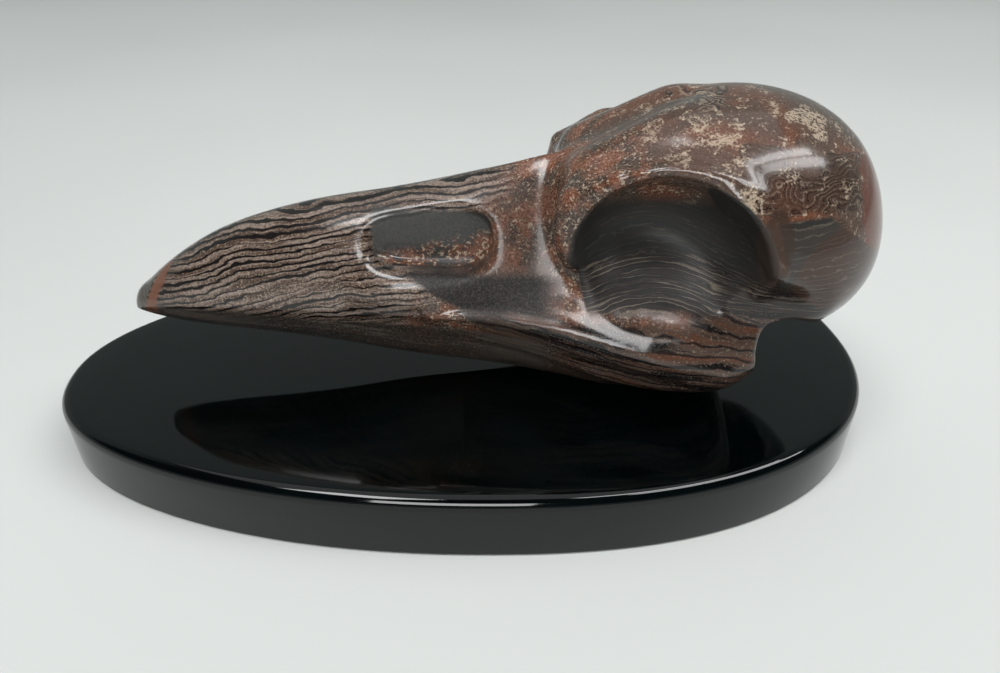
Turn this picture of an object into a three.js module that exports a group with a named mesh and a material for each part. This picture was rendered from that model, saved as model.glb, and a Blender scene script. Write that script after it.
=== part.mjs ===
// A raven skull carved from one block of banded brown stone, lying on a polished dark egg-shaped base.
// Millimetres, +Z up. The origin is the centre of the base's underside, +X runs towards the broad end of the base.
import * as THREE from "three";

// The base: a flat slab, egg-shaped in plan, broader under the braincase than under the beak.
const baseLength = 128;
const baseWidth = 71.5;
const baseThickness = 10;
const baseEdgeRadius = 1.8; // rounding of the top edge
const baseFootChamfer = 0.5; // small break of the bottom edge
const baseEggShare = 0.2; // how much broader the outline grows towards its +X end
const baseSquareness = 2.2; // 2 is a true ellipse, more is squarer
const baseOutlineSteps = 96;
const baseEdgeSteps = 4;

// The skull: its own frame runs along s from the beak tip, w out to each side, z up from the top of the base.
const skullLength = 108;
const skullTurnDeg = -7; // how far its long axis is turned from the base's
const beakTipX = -50.7; // where the beak tip hangs over the base
const beakTipY = 1.9;
const seatGap = 0.3; // clearance between the skull's flat seat and the base
const skullFacetSteps = 52; // facets along its length

// The forms below are drawn on a grid of its own units, which the skull's length then scales.
// The beak tip is at 0. The drawing ends at the nape's far side, which its join with the crown swells a little.
const crownCentre = [85.3, 0, 26.7];
const crownRadii = [21.4, 18.5, 16.9];
const napeCentre = [91.6, 0, 22.6];
const napeRadii = [15.4, 16.4, 10.8];
const napeJoin = 6;
const drawnLength = napeCentre[0] + napeRadii[0] + napeJoin / 6;

// Stations along the rostrum and palate: ridge line, cutting edge, keel line and half width.
const stationS = [0, 1, 3, 6, 10, 15, 21.5, 30, 41.5, 51, 58, 64, 72, 80, 86, 90, 92, 93];
const ridgeZ = [11.5, 13.5, 15.2, 17.7, 20.5, 23.3, 25.8, 28, 29.9, 31.9, 33.8, 35.4, 36, 35, 33, 30, 27, 25];
const edgeZ = [11, 11.4, 12.2, 12.9, 13.8, 14.1, 14.4, 14.7, 15.2, 15.8, 15.8, 15, 13.4, 11.6, 10.9, 11.5, 12.4, 13];
const keelZ = [10.5, 9.5, 8.7, 7.9, 7.2, 6.5, 5.7, 4.4, 2.1, 0.8, 0.1, -0.3, -0.6, -0.6, 0.2, 2.2, 5.2, 8.5];
const halfWidth = [0.3, 2.2, 3.4, 4.6, 5.7, 6.6, 7.6, 8.7, 9.8, 10.7, 11.7, 13, 15, 16.4, 16.8, 15.4, 12.6, 8];

const clamp = (v, low, high) => Math.min(high, Math.max(low, v));

// A smooth curve through unevenly spaced stations: a cubic between each pair, with weighted mean slopes.
function stationCurve(xs, ys) {
  const slopes = ys.slice(1).map((y, i) => (y - ys[i]) / (xs[i + 1] - xs[i]));
  const tangents = ys.map((_, i) => {
    if (i === 0) return slopes[0];
    if (i === ys.length - 1) return slopes[i - 1];
    const before = xs[i] - xs[i - 1];
    const after = xs[i + 1] - xs[i];
    return (slopes[i] * before + slopes[i - 1] * after) / (before + after);
  });
  return (x) => {
    const at = clamp(x, xs[0], xs[xs.length - 1]);
    let i = 0;
    while (i < xs.length - 2 && at > xs[i + 1]) i++;
    const span = xs[i + 1] - xs[i];
    const t = (at - xs[i]) / span;
    const t2 = t * t;
    const t3 = t2 * t;
    return (
      (2 * t3 - 3 * t2 + 1) * ys[i] +
      (t3 - 2 * t2 + t) * span * tangents[i] +
      (3 * t2 - 2 * t3) * ys[i + 1] +
      (t3 - t2) * span * tangents[i + 1]
    );
  };
}
const ridgeAt = stationCurve(stationS, ridgeZ);
const edgeAt = stationCurve(stationS, edgeZ);
const keelAt = stationCurve(stationS, keelZ);
const widthAt = stationCurve(stationS, halfWidth);

// Joins and cuts of two distances, rounded over about k.
function join(a, b, k) {
  const h = clamp(0.5 + (0.5 * (b - a)) / k, 0, 1);
  return b * (1 - h) + a * h - k * h * (1 - h);
}
const keep = (a, b, k) => -join(-a, -b, k);
const cut = (a, tool, k) => keep(a, -tool, k);

// Distance to an ellipsoid, tipped by turn about the cross axis and by lean about the long axis.
function ellipsoid(s, w, z, centre, radii, turn = 0, lean = 0) {
  let x = s - centre[0];
  let y = w - centre[1];
  let v = z - centre[2];
  const l = THREE.MathUtils.degToRad(lean);
  [y, v] = [y * Math.cos(l) + v * Math.sin(l), v * Math.cos(l) - y * Math.sin(l)];
  const t = THREE.MathUtils.degToRad(turn);
  [x, v] = [x * Math.cos(t) + v * Math.sin(t), v * Math.cos(t) - x * Math.sin(t)];
  const near = Math.hypot(x / radii[0], y / radii[1], v / radii[2]);
  const slope = Math.hypot(x / radii[0] ** 2, y / radii[1] ** 2, v / radii[2] ** 2);
  return (near * (near - 1)) / Math.max(slope, 1e-9);
}

// Distance to a rounded rod whose radius runs from one end's to the other's. An end is [s, w, z, radius].
function rod(s, w, z, from, to) {
  const along = [to[0] - from[0], to[1] - from[1], to[2] - from[2]];
  const off = [s - from[0], w - from[1], z - from[2]];
  const dot = off[0] * along[0] + off[1] * along[1] + off[2] * along[2];
  const t = clamp(dot / (along[0] ** 2 + along[1] ** 2 + along[2] ** 2), 0, 1);
  const away = Math.hypot(off[0] - t * along[0], off[1] - t * along[1], off[2] - t * along[2]);
  return away - (from[3] + (to[3] - from[3]) * t);
}

// Rods end to end through a list of points.
function rodChain(s, w, z, points) {
  return Math.min(...points.slice(1).map((end, i) => rod(s, w, z, points[i], end)));
}

// The rostrum and palate: above the cutting edge a round section that turns into a tent under the eyes,
// below it a keel that grows flat to the rear.
function rostrum(s, w, z) {
  const edge = edgeAt(s);
  const above = z > edge;
  const height = Math.max(above ? ridgeAt(s) - edge : edge - keelAt(s), 0.3);
  const width = Math.max(widthAt(s), 0.3);
  const flatness = clamp((s - 50) / 20, 0, 1);
  const tent = THREE.MathUtils.smoothstep(s, 50, 62);
  const power = above ? 1.85 - 0.7 * tent : 1.12 + 0.7 * flatness;
  const u = w / width + 1e-6;
  const v = Math.abs(z - edge) / height + 1e-6;
  const g = (u ** power + v ** power) ** (1 / power);
  const gu = (u / g) ** (power - 1) / width;
  const gv = (v / g) ** (power - 1) / height;
  const d = (g - 1) / Math.hypot(gu, gv);
  return Math.max(d, -s, s - stationS[stationS.length - 1]);
}

const jugalCrest = [
  [46, 10.4, 15.5, 0.5],
  [56, 11.7, 15.8, 0.8],
  [64, 13.3, 15, 0.9],
  [72, 15.1, 13.3, 0.9],
  [80, 16.2, 11.6, 0.9],
  [86, 16.4, 11, 1.1],
  [90, 15.2, 12, 1.4],
];
const jugalFlange = [
  [56, 8, 15, 2.6],
  [66, 10.2, 14.6, 3.4],
  [76, 11.2, 13.2, 4.3],
  [84, 12, 12.4, 3.9],
  [88.6, 12.6, 12.6, 2.8],
];
const browFront = [
  [65, 10.9, 26.4, 1.5],
  [64, 11, 29.6, 1.6],
  [64.5, 10.5, 32.9, 1.6],
  [66.8, 10.6, 33.8, 1.5],
  [70.3, 11.6, 35.2, 1.2],
];
const palateGroove = [
  [52, 11.6, 11, 0.6],
  [58, 13, 9.6, 2],
  [72, 16, 6.6, 3.4],
  [84, 17.4, 4.6, 2.4],
];

// The carved skull as a signed distance, negative inside. Both sides are alike, so w counts from the middle plane.
function skull(s, side, z) {
  const w = Math.abs(side);
  let d = rostrum(s, w, z);
  d = join(d, rodChain(s, w, z, jugalCrest), 0.8);

  const crown = ellipsoid(s, w, z, crownCentre, crownRadii, 10);
  const nape = ellipsoid(s, w, z, napeCentre, napeRadii);
  d = join(d, join(crown, nape, napeJoin), 4);
  d = join(d, ellipsoid(s, w, z, [73.5, 0, 26.6], [12, 12.5, 10.6], -14), 2.5);

  const orbit = ellipsoid(s, w, z, [75.8, 21, 25.4], [13, 15.5, 12.2], 0, -14);
  let brow = keep(orbit - 1.5, w - (11.6 + (s - 64) * 0.17), 1.4);
  brow = keep(brow, 24 - z, 2.5);
  brow = keep(brow, 62 - s, 0.8);
  d = join(d, brow, 2.6);
  d = join(d, rodChain(s, w, z, browFront), 3);
  d = join(d, rod(s, w, z, [68, 5.6, 33.2, 4.2], [79, 4.6, 37.6, 4.6]), 3);
  const valley = rod(s, w, z, [62, 0, 41.6, 3.8], [81, 0, 49.8, 3.4]);
  d = cut(d, valley, 4);

  d = cut(d, ellipsoid(s, w, z, [90.5, 21.5, 17.6], [8.6, 7.4, 7.6], 0, 10), 3);
  const temple = ellipsoid(s, w, z, [88, 21.5, 16.8], [8, 7.8, 7]);
  d = cut(d, join(orbit, temple, 5), 0.8);
  const tongue = rod(s, w, z, [83.5, 14, 33, 3.2], [89.4, 17.4, 26.9, 0.9]);
  d = join(d, cut(tongue, orbit, 0.8), 1.2);
  const socketWall = rod(s, w, z, [71.5, 2.6, 17.6, 8.4], [80.5, 3, 16.8, 8.2]);
  d = join(d, socketWall, 3);

  const shelf = ellipsoid(s, w, z, [77, 7, 12.4], [13.5, 7.4, 5.4], 0, -34);
  d = join(d, join(rodChain(s, w, z, jugalFlange), shelf, 3), 2.5);

  const across = Math.abs(s - 46.1) / 8.5;
  const above = Math.abs(z - 24.9 - (s - 46) * 0.05) / 4.4;
  const nostrilOutline = 4.4 * ((across ** 2.8 + above ** 2.8) ** (1 / 2.8) - 1);
  d = cut(d, keep(nostrilOutline, 4.6 - w, 1.2), 0.9);
  d = cut(d, rod(s, w, z, [30, 9.6, 25.5, 0.6], [41, 8.4, 27, 2.6]), 2);
  d = join(d, ellipsoid(s, w, z, [42, 8.2, 18.2], [7, 2.6, 2.6]), 3);

  d = cut(d, rod(s, w, z, [94.6, 0, 12.8, 4.2], [94.6, 40, 12.8, 4.7]), 1.2);
  d = cut(d, rod(s, w, z, [97.4, 0, 6.2, 5.4], [97.4, 40, 6.2, 6]), 1.2);
  d = cut(d, rodChain(s, w, z, palateGroove), 1.2);
  return Math.max(d, -z);
}

// The surface where a distance is zero, as a closed mesh of quads. Each cell of a cubic grid that the surface
// crosses gets one vertex, pulled onto the surface, and each grid edge that it crosses joins four of them.
function surfaceOf(distance, low, high, cell) {
  const count = low.map((v, i) => Math.ceil((high[i] - v) / cell) + 1);
  const [nx, ny, nz] = count;
  const index = (i, j, k) => (i * ny + j) * nz + k;
  const values = new Float64Array(nx * ny * nz);
  for (let i = 0; i < nx; i++)
    for (let j = 0; j < ny; j++)
      for (let k = 0; k < nz; k++)
        values[index(i, j, k)] = distance(low[0] + i * cell, low[1] + j * cell, low[2] + k * cell);

  // Where inside and outside corners alternate round a grid face, the outside ones are filled a little,
  // so that the surface never touches itself.
  const faces = [
    [[0, 1, 0], [0, 0, 1]],
    [[1, 0, 0], [0, 0, 1]],
    [[1, 0, 0], [0, 1, 0]],
  ];
  let filled = true;
  while (filled) {
    filled = false;
    for (let i = 0; i < nx - 1; i++)
      for (let j = 0; j < ny - 1; j++)
        for (let k = 0; k < nz - 1; k++)
          for (const [a, b] of faces) {
            const corners = [
              index(i, j, k),
              index(i + a[0], j + a[1], k + a[2]),
              index(i + a[0] + b[0], j + a[1] + b[1], k + a[2] + b[2]),
              index(i + b[0], j + b[1], k + b[2]),
            ];
            const inside = corners.map((c) => values[c] < 0);
            if (inside[0] === inside[2] && inside[1] === inside[3] && inside[0] !== inside[1]) {
              for (const c of corners) if (values[c] >= 0) values[c] = -0.02 * cell;
              filled = true;
            }
          }
  }

  const vertexOf = new Map();
  const positions = [];
  const triangles = [];
  const vertex = (i, j, k) => {
    const id = index(i, j, k);
    if (vertexOf.has(id)) return vertexOf.get(id);
    const sum = new THREE.Vector3();
    let crossings = 0;
    for (const axis of [0, 1, 2])
      for (let corner = 0; corner < 8; corner++) {
        if ((corner >> axis) & 1) continue;
        const from = [i + (corner & 1), j + ((corner >> 1) & 1), k + ((corner >> 2) & 1)];
        const to = from.map((v, n) => v + (n === axis ? 1 : 0));
        const a = values[index(...from)];
        const b = values[index(...to)];
        if (a < 0 === b < 0) continue;
        const t = a / (a - b);
        sum.add(new THREE.Vector3(...from.map((v, n) => v + (to[n] - v) * t)));
        crossings++;
      }
    const p = sum.divideScalar(crossings).multiplyScalar(cell).add(new THREE.Vector3(...low));
    const middle = new THREE.Vector3(i + 0.5, j + 0.5, k + 0.5).multiplyScalar(cell).add(new THREE.Vector3(...low));
    pullOn(p, middle);
    vertexOf.set(id, positions.length / 3);
    positions.push(p.x, p.y, p.z);
    return vertexOf.get(id);
  };
  // Steps down the slope to the surface, and stays within the cell.
  const pullOn = (p, middle) => {
    const h = 0.05 * cell;
    for (let step = 0; step < 4; step++) {
      const d = distance(p.x, p.y, p.z);
      const slope = new THREE.Vector3(
        distance(p.x + h, p.y, p.z) - distance(p.x - h, p.y, p.z),
        distance(p.x, p.y + h, p.z) - distance(p.x, p.y - h, p.z),
        distance(p.x, p.y, p.z + h) - distance(p.x, p.y, p.z - h),
      ).divideScalar(2 * h);
      p.addScaledVector(slope, -d / Math.max(slope.lengthSq(), 0.2));
    }
    p.sub(middle).clampScalar(-0.45 * cell, 0.45 * cell).add(middle);
  };
  for (let i = 1; i < nx - 1; i++)
    for (let j = 1; j < ny - 1; j++)
      for (let k = 1; k < nz - 1; k++) {
        const here = values[index(i, j, k)] < 0;
        const edges = [
          [index(i + 1, j, k), [[i, j - 1, k - 1], [i, j, k - 1], [i, j, k], [i, j - 1, k]]],
          [index(i, j + 1, k), [[i - 1, j, k - 1], [i - 1, j, k], [i, j, k], [i, j, k - 1]]],
          [index(i, j, k + 1), [[i - 1, j - 1, k], [i, j - 1, k], [i, j, k], [i - 1, j, k]]],
        ];
        for (const [end, cells] of edges) {
          if (here === values[end] < 0) continue;
          const [a, b, c, d] = cells.map((c) => vertex(...c));
          if (here) triangles.push(a, b, c, a, c, d);
          else triangles.push(a, c, b, a, d, c);
        }
      }
  const geometry = new THREE.BufferGeometry();
  geometry.setAttribute("position", new THREE.Float32BufferAttribute(positions, 3));
  geometry.setIndex(triangles);
  return geometry;
}

// The base's outline in plan, drawn in by an inset: a squared-off ellipse whose width grows towards +X.
function baseOutline(inset) {
  const bend = (v) => Math.sign(v) * Math.abs(v) ** (2 / baseSquareness);
  const points = Array.from({ length: baseOutlineSteps }, (_, i) => {
    const angle = (2 * Math.PI * i) / baseOutlineSteps;
    const along = bend(Math.cos(angle));
    return [along, bend(Math.sin(angle)) * (1 + baseEggShare * along)];
  });
  const widest = Math.max(...points.map(([, across]) => across));
  return points.map(([along, across]) => [
    (baseLength / 2 - inset) * along,
    ((baseWidth / 2 - inset) * across) / widest,
  ]);
}

// A closed solid from outlines stacked upwards, each { inset, z }, with a flat cap at both ends.
function stackedOutlines(levels) {
  const positions = [];
  const triangles = [];
  for (const level of levels) for (const [x, y] of baseOutline(level.inset)) positions.push(x, y, level.z);
  const n = baseOutlineSteps;
  for (let level = 0; level < levels.length - 1; level++)
    for (let i = 0; i < n; i++) {
      const a = level * n + i;
      const b = level * n + ((i + 1) % n);
      triangles.push(a, b, b + n, a, b + n, a + n);
    }
  const caps = [0, levels.length - 1].map((level) => {
    positions.push(0, 0, levels[level].z);
    return positions.length / 3 - 1;
  });
  const top = (levels.length - 1) * n;
  for (let i = 0; i < n; i++) {
    const next = (i + 1) % n;
    triangles.push(caps[0], next, i, caps[1], top + i, top + next);
  }
  const geometry = new THREE.BufferGeometry();
  geometry.setAttribute("position", new THREE.Float32BufferAttribute(positions, 3));
  geometry.setIndex(triangles);
  return geometry;
}

function makeBase() {
  const levels = [
    { inset: baseFootChamfer, z: 0 },
    { inset: 0, z: baseFootChamfer },
  ];
  for (let i = 0; i <= baseEdgeSteps; i++) {
    const angle = (i / baseEdgeSteps) * (Math.PI / 2);
    levels.push({
      inset: baseEdgeRadius * (1 - Math.cos(angle)),
      z: baseThickness - baseEdgeRadius * (1 - Math.sin(angle)),
    });
  }
  const stone = new THREE.MeshStandardMaterial({ color: 0x0b1512, roughness: 0.08, metalness: 0 });
  const mesh = new THREE.Mesh(stackedOutlines(levels), stone);
  mesh.name = "base";
  return mesh;
}

function makeSkull() {
  const scale = skullLength / drawnLength;
  const facet = skullLength / skullFacetSteps;
  const halfWidest = (crownRadii[1] + 2) * scale;
  const height = (crownCentre[2] + crownRadii[2] + 2) * scale;
  const low = [-2 * facet, -halfWidest - facet, -2 * facet];
  const high = [skullLength + 2 * facet, halfWidest + facet, height + facet];
  const field = (x, y, z) => skull(x / scale, y / scale, z / scale) * scale;
  const geometry = surfaceOf(field, low, high, facet);
  const stone = new THREE.MeshStandardMaterial({ color: 0x4a2f28, roughness: 0.18, metalness: 0 });
  const mesh = new THREE.Mesh(geometry, stone);
  mesh.name = "raven_skull";
  return mesh;
}

const carving = new THREE.Group();
carving.add(makeBase());
const seat = new THREE.Group();
seat.position.set(beakTipX, beakTipY, baseThickness + seatGap);
seat.rotation.z = THREE.MathUtils.degToRad(skullTurnDeg);
seat.add(makeSkull());
carving.add(seat);
export default carving;
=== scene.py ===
"""A raven skull carved from banded brown stone on a polished dark egg-shaped base, in soft studio light."""

import math

import bpy
import numpy as np
from mathutils import Matrix, Quaternion, Vector


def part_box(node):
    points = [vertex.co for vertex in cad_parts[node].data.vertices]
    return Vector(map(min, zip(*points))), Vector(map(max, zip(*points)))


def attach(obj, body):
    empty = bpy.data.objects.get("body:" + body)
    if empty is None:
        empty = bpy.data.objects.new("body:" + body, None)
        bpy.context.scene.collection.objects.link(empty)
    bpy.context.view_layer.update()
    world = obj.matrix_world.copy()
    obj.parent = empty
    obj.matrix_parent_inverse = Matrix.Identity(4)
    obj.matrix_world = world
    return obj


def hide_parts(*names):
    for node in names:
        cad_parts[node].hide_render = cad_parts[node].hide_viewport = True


bl_info = {
    "name": "Raven Skull Carving",
    "version": (1, 0, 0),
    "blender": (4, 5, 0),
    "location": "View3D > Sidebar > Carving",
    "description": "Builds a polished stone raven skull on its egg-shaped base",
    "category": "Add Mesh",
}

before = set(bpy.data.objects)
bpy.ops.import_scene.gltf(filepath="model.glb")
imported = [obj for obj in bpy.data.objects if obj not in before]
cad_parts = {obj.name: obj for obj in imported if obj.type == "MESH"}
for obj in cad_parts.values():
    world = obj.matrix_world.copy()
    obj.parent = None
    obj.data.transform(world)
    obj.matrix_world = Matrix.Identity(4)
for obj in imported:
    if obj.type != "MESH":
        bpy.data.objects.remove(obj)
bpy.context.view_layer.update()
BASE_LOW, BASE_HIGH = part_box("base")
SKULL_LOW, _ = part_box("raven_skull")
MM = 0.001

# Where the skull lies: its beak tip over the base, its turn, and the height of its flat seat.
TIP_X = -50.7 * MM
TIP_Y = 1.9 * MM
SKULL_TURN = math.radians(-7)
SEAT_Z = SKULL_LOW[2]

# The skull in its own frame, in mm: s runs from the beak tip, w out to each side, z up from the seat.
# Stations along the rostrum and palate: ridge line, cutting edge, keel line and half width.
STATION_S = [0, 1, 3, 6, 10, 15, 21.5, 30, 41.5, 51, 58, 64, 72, 80, 86, 90, 92, 93]
RIDGE_Z = [11.5, 13.5, 15.2, 17.7, 20.5, 23.3, 25.8, 28, 29.9, 31.9, 33.8, 35.4, 36, 35, 33, 30, 27, 25]
EDGE_Z = [11, 11.4, 12.2, 12.9, 13.8, 14.1, 14.4, 14.7, 15.2]
EDGE_Z += [15.8, 15.8, 15, 13.4, 11.6, 10.9, 11.5, 12.4, 13]
KEEL_Z = [10.5, 9.5, 8.7, 7.9, 7.2, 6.5, 5.7, 4.4, 2.1, 0.8, 0.1, -0.3, -0.6, -0.6, 0.2, 2.2, 5.2, 8.5]
HALF_WIDTH = [0.3, 2.2, 3.4, 4.6, 5.7, 6.6, 7.6, 8.7, 9.8, 10.7, 11.7, 13, 15, 16.4, 16.8, 15.4, 12.6, 8]

# The rostrum's section: its outline's powers above and below the cutting edge, and where along s they change.
LEAST_HALF = 0.3
ROUND_POWER, TENT_POWER = 1.85, 1.15
TENT_FROM, TENT_TO = 50, 62
KEEL_POWER, FLAT_POWER = 1.12, 1.82
FLAT_FROM, FLAT_TO = 50, 70

# Ellipsoids: centre, radii, and in degrees the turn seen from the side and the lean seen from the end.
CROWN = ((85.3, 0, 26.7), (21.4, 18.5, 16.9), 10)
NAPE = ((91.6, 0, 22.6), (15.4, 16.4, 10.8))
FOREHEAD = ((73.5, 0, 26.6), (12, 12.5, 10.6), -14)
EYE_CENTRE = (75.8, 21, 25.4)
EYE_RADII = (13, 15.5, 12.2)
EYE_LEAN = -14
TEMPLE = ((88, 21.5, 16.8), (8, 7.8, 7))
TEMPLE_SLOPE = ((90.5, 21.5, 17.6), (8.6, 7.4, 7.6), 0, 10)
JUGAL_SHELF = ((77, 7, 12.4), (13.5, 7.4, 5.4), 0, -34)
CHEEK = ((42, 8.2, 18.2), (7, 2.6, 2.6))

# Rods: their two ends, each with its radius.
CROWN_RIDGE = ((68, 5.6, 33.2, 4.2), (79, 4.6, 37.6, 4.6))
CROWN_VALLEY = ((62, 0, 41.6, 3.8), (81, 0, 49.8, 3.4))
TONGUE = ((83.5, 14, 33, 3.2), (89.4, 17.4, 26.9, 0.9))
SOCKET_WALL = ((71.5, 2.6, 17.6, 8.4), (80.5, 3, 16.8, 8.2))
NOSTRIL_LEAD = ((30, 9.6, 25.5, 0.6), (41, 8.4, 27, 2.6))
REAR_NOTCH = ((94.6, 0, 12.8, 4.2), (94.6, 40, 12.8, 4.7))
LOW_NOTCH = ((97.4, 0, 6.2, 5.4), (97.4, 40, 6.2, 6))
JUGAL_CREST = [
    (46, 10.4, 15.5, 0.5),
    (56, 11.7, 15.8, 0.8),
    (64, 13.3, 15, 0.9),
    (72, 15.1, 13.3, 0.9),
    (80, 16.2, 11.6, 0.9),
    (86, 16.4, 11, 1.1),
    (90, 15.2, 12, 1.4),
]
JUGAL_FLANGE = [
    (56, 8, 15, 2.6),
    (66, 10.2, 14.6, 3.4),
    (76, 11.2, 13.2, 4.3),
    (84, 12, 12.4, 3.9),
    (88.6, 12.6, 12.6, 2.8),
]
BROW_FRONT = [
    (65, 10.9, 26.4, 1.5),
    (64, 11, 29.6, 1.6),
    (64.5, 10.5, 32.9, 1.6),
    (66.8, 10.6, 33.8, 1.5),
    (70.3, 11.6, 35.2, 1.2),
]
PALATE_GROOVE = [
    (52, 11.6, 11, 0.6),
    (58, 13, 9.6, 2),
    (72, 16, 6.6, 3.4),
    (84, 17.4, 4.6, 2.4),
]

# The brow is a skin round the eye hollow, cut by a plane that spreads to the rear, a floor and a front.
BROW_OUT = 1.5
BROW_S, BROW_W, BROW_SPREAD = 64, 11.6, 0.17
BROW_LOWEST = 24
BROW_FOREMOST = 62

# The nostril is a superellipse in side view, cut to a flat floor.
NOSTRIL_S, NOSTRIL_Z, NOSTRIL_SLOPE = 46.1, 24.905, 0.05
NOSTRIL_HALF_LENGTH, NOSTRIL_HALF_HEIGHT = 8.5, 4.4
NOSTRIL_POWER = 2.8
NOSTRIL_FLOOR_W = 4.6

# A box round the whole carving.
CARVING_LOW = np.array([0, -22, 0])
CARVING_HIGH = np.array([110, 22, 46])

# The banded stone. Places are in the skull's own frame, in mm.

# Patches of one marking each: the centre and radii of an ellipsoid, alike on both sides.
BACK_FOLDS = ((94, 13, 35), (9.5, 7, 5.5))
CROWN_LOOPS = ((81, 0, 43), (4.5, 6, 3))
PALE_STREAK = ((78.5, 8, 41), (6.5, 3, 3))
CREAM_HOOK = ((93, 8.5, 40.6), (3.4, 4, 3))
HOOK_INSIDE = ((91.4, 9.6, 40), (2, 2.4, 3))
RED_PATCH = ((102.5, 10, 31), (3.2, 9, 6))
WARM_PATCH = ((99.5, 12, 25), (7, 8, 4.5))
TONGUE_SHADE = ((88.3, 17.5, 29), (2.4, 3, 5.5))

# Heights and lengths of the lines between one kind of stone and the next.
HINGE_S_RANGE = (52, 63)
CROWN_LOW_Z = 32.8
CROWN_LOW_FALL_S = 95
EYE_RIM = 0.4
CHEEK_Z = 21.5
JUGAL_Z = 16.6
UNDERSIDE_Z = 13.4
NOSTRIL_S_RANGE = (38, 54.4)
NOSTRIL_Z_RANGE = (20.4, 28.5)
STREAK_RANGE = (3.4, 5.2)

# Where a kind of stone fades in: none of it at the first value, all of it at the second.
SPECKLES_FADE = (45, 49)
VEINS_FADE = (71, 77)
HINGE_TOP_FADE = (33.5, 31)
BEHIND_EYE_FADE = (88.9, 89.6)
TEMPLE_FADE_Z = (26.6, 25.8)
TEMPLE_FADE_S = (80, 82)
HOLLOW_RIM_FADE = (1.05, 1.0)
HOLLOW_FRONT_FADE = (63, 65)
HOLLOW_FLOOR_FADE = (16.8, 18.2)
CHEEK_FRONT_FADE = (47, 49)
FRONT_HALF_FADE = (66, 60)
JUGAL_STEP_FADE = (80, 88)
JUGAL_FRONT_FADE = (50, 58)
JUGAL_REAR_FADE = (96, 92)
NOSTRIL_DEPTH_FADE = (6.4, 5.6)
NOSTRIL_RUST_FADE = (24.5, 22.5)
LAYER_STEP_FADE = (24, 42)
LOW_ARCHES_FADE = (24.8, 23.2)
TIP_FADE = (3.3, 2.9)

# How polished the stone is.
STONE_IOR = 1.42
STONE_ROUGHNESS = 0.15
GRAIN_ROUGHNESS = 0.1
HINGE_ROUGHNESS = 0.12
DULL_ROUGHNESS = 0.3
STONE_COAT = 0.3
HINGE_COAT_LOSS = 0.7
COAT_ROUGHNESS = 0.06
BASE_IOR = 1.46
BASE_ROUGHNESS = 0.04
MIST_ROUGHNESS = 0.05
FLOOR_ROUGHNESS = 0.9

# Spacing of the lines in each kind of stone.
LAYER_PITCH = 0.95
FINE_LAYER_PITCH = 0.41
FOLD_PITCH = 1.1
LOOP_PITCH = 1.0
ARCH_PITCH = 0.6
FAINT_PITCH = 1.1
SHELF_PITCH = 1.4
PALATE_PITCH = 1.1
TIP_PITCH = 0.9

# The world's light behind the object and along the horizon, and overhead and in front.
PALE_ROOM = (0.27, 0.31, 0.3)
DARK_ROOM = (0.03, 0.035, 0.04)

# Lights: azimuth and elevation in degrees, distance, width and height in m, power in W, and roll in degrees.
LIGHTS = {
    "window_right_upper": (66, 60, 0.8, (0.56, 0.07), 1.5, -40),
    "window_right_lower": (66, 50, 0.8, (0.56, 0.09), 1.5, -40),
    "window_left": (-47, 63, 0.85, (0.26, 0.24), 2.6, 0),
    "front": (-13, 31, 1.0, (0.42, 0.32), 4.4, 0),
    "overhead": (180, 82, 1.3, (1.5, 1.1), 4.2, 0),
}
LIT_HEIGHT = 0.03


# Sizes and colours that a user may change.


class BaseSettings(bpy.types.PropertyGroup):
    length: bpy.props.FloatProperty(
        name="Length", description="Length of the base", default=BASE_HIGH[0] - BASE_LOW[0], unit="LENGTH"
    )
    width: bpy.props.FloatProperty(
        name="Width",
        description="Greatest width of the base",
        default=BASE_HIGH[1] - BASE_LOW[1],
        unit="LENGTH",
    )
    thickness: bpy.props.FloatProperty(
        name="Thickness", description="Height of the base", default=BASE_HIGH[2] - BASE_LOW[2], unit="LENGTH"
    )
    edge_radius: bpy.props.FloatProperty(
        name="Edge radius", description="Rounding of the top edge", default=1.8 * MM, unit="LENGTH"
    )
    foot_radius: bpy.props.FloatProperty(
        name="Foot radius", description="Rounding of the bottom edge", default=0.5 * MM, unit="LENGTH"
    )
    egg_share: bpy.props.FloatProperty(
        name="Egg share", description="How much broader the outline grows towards the broad end", default=0.2
    )
    squareness: bpy.props.FloatProperty(
        name="Squareness", description="2 is a true ellipse, more is squarer", default=2.2
    )
    colour: bpy.props.FloatVectorProperty(
        name="Colour",
        description="Green-black stone",
        default=(0.0003, 0.0009, 0.001),
        size=3,
        subtype="COLOR",
    )


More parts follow.
